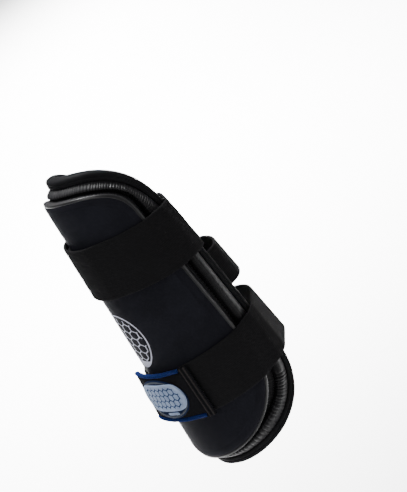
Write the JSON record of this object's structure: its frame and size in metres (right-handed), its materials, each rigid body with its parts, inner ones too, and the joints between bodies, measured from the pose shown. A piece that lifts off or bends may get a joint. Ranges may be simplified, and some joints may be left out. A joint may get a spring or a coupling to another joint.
{
  "type": "forearm guard",
  "caption": "Black padded forearm guard with a moulded shell, gathered border roll and elastic hook-and-loop straps, shown in its worn form.",
  "frame": {"origin": "on the axis of the forearm, halfway along the guard", "axes": "+Z along the forearm to the wrist end, -Y the front centre line of the shell, +X the near side, where the two wide straps come over the edge of the guard"},
  "size_m": [0.1345, 0.1284, 0.286],
  "materials": {
    "lining_fabric": "black knitted lining over foam",
    "binding_leatherette": "black leatherette binding, semi-gloss, stitched",
    "border_leatherette": "gathered glossy black leatherette",
    "shell_leatherette": "moulded matt blue-black leatherette, fine grain",
    "elastic_webbing": "black woven elastic webbing",
    "loop_tape": "black napped loop tape",
    "hook_tab": "black woven tab, double stitched",
    "blue_edging": "blue overlocked edging thread",
    "badge_rubber": "pale grey moulded rubber badge with a navy border"
  },
  "bodies": {
    "root": {"backing_pad": "lining_fabric", "edge_binding": "binding_leatherette", "border_roll": "border_leatherette", "shell_pad": "shell_leatherette", "upper_strap": "elastic_webbing", "upper_loop_patch": "loop_tape", "upper_strap_tab": "hook_tab", "upper_tab_wrist_edging": "blue_edging", "upper_tab_elbow_edging": "blue_edging", "lower_strap": "elastic_webbing", "lower_loop_patch": "loop_tape", "lower_strap_tab": "hook_tab", "lower_tab_wrist_edging": "blue_edging", "lower_tab_elbow_edging": "blue_edging", "tab_badge": "badge_rubber", "middle_strap": "elastic_webbing"}
  },
  "joints": []
}
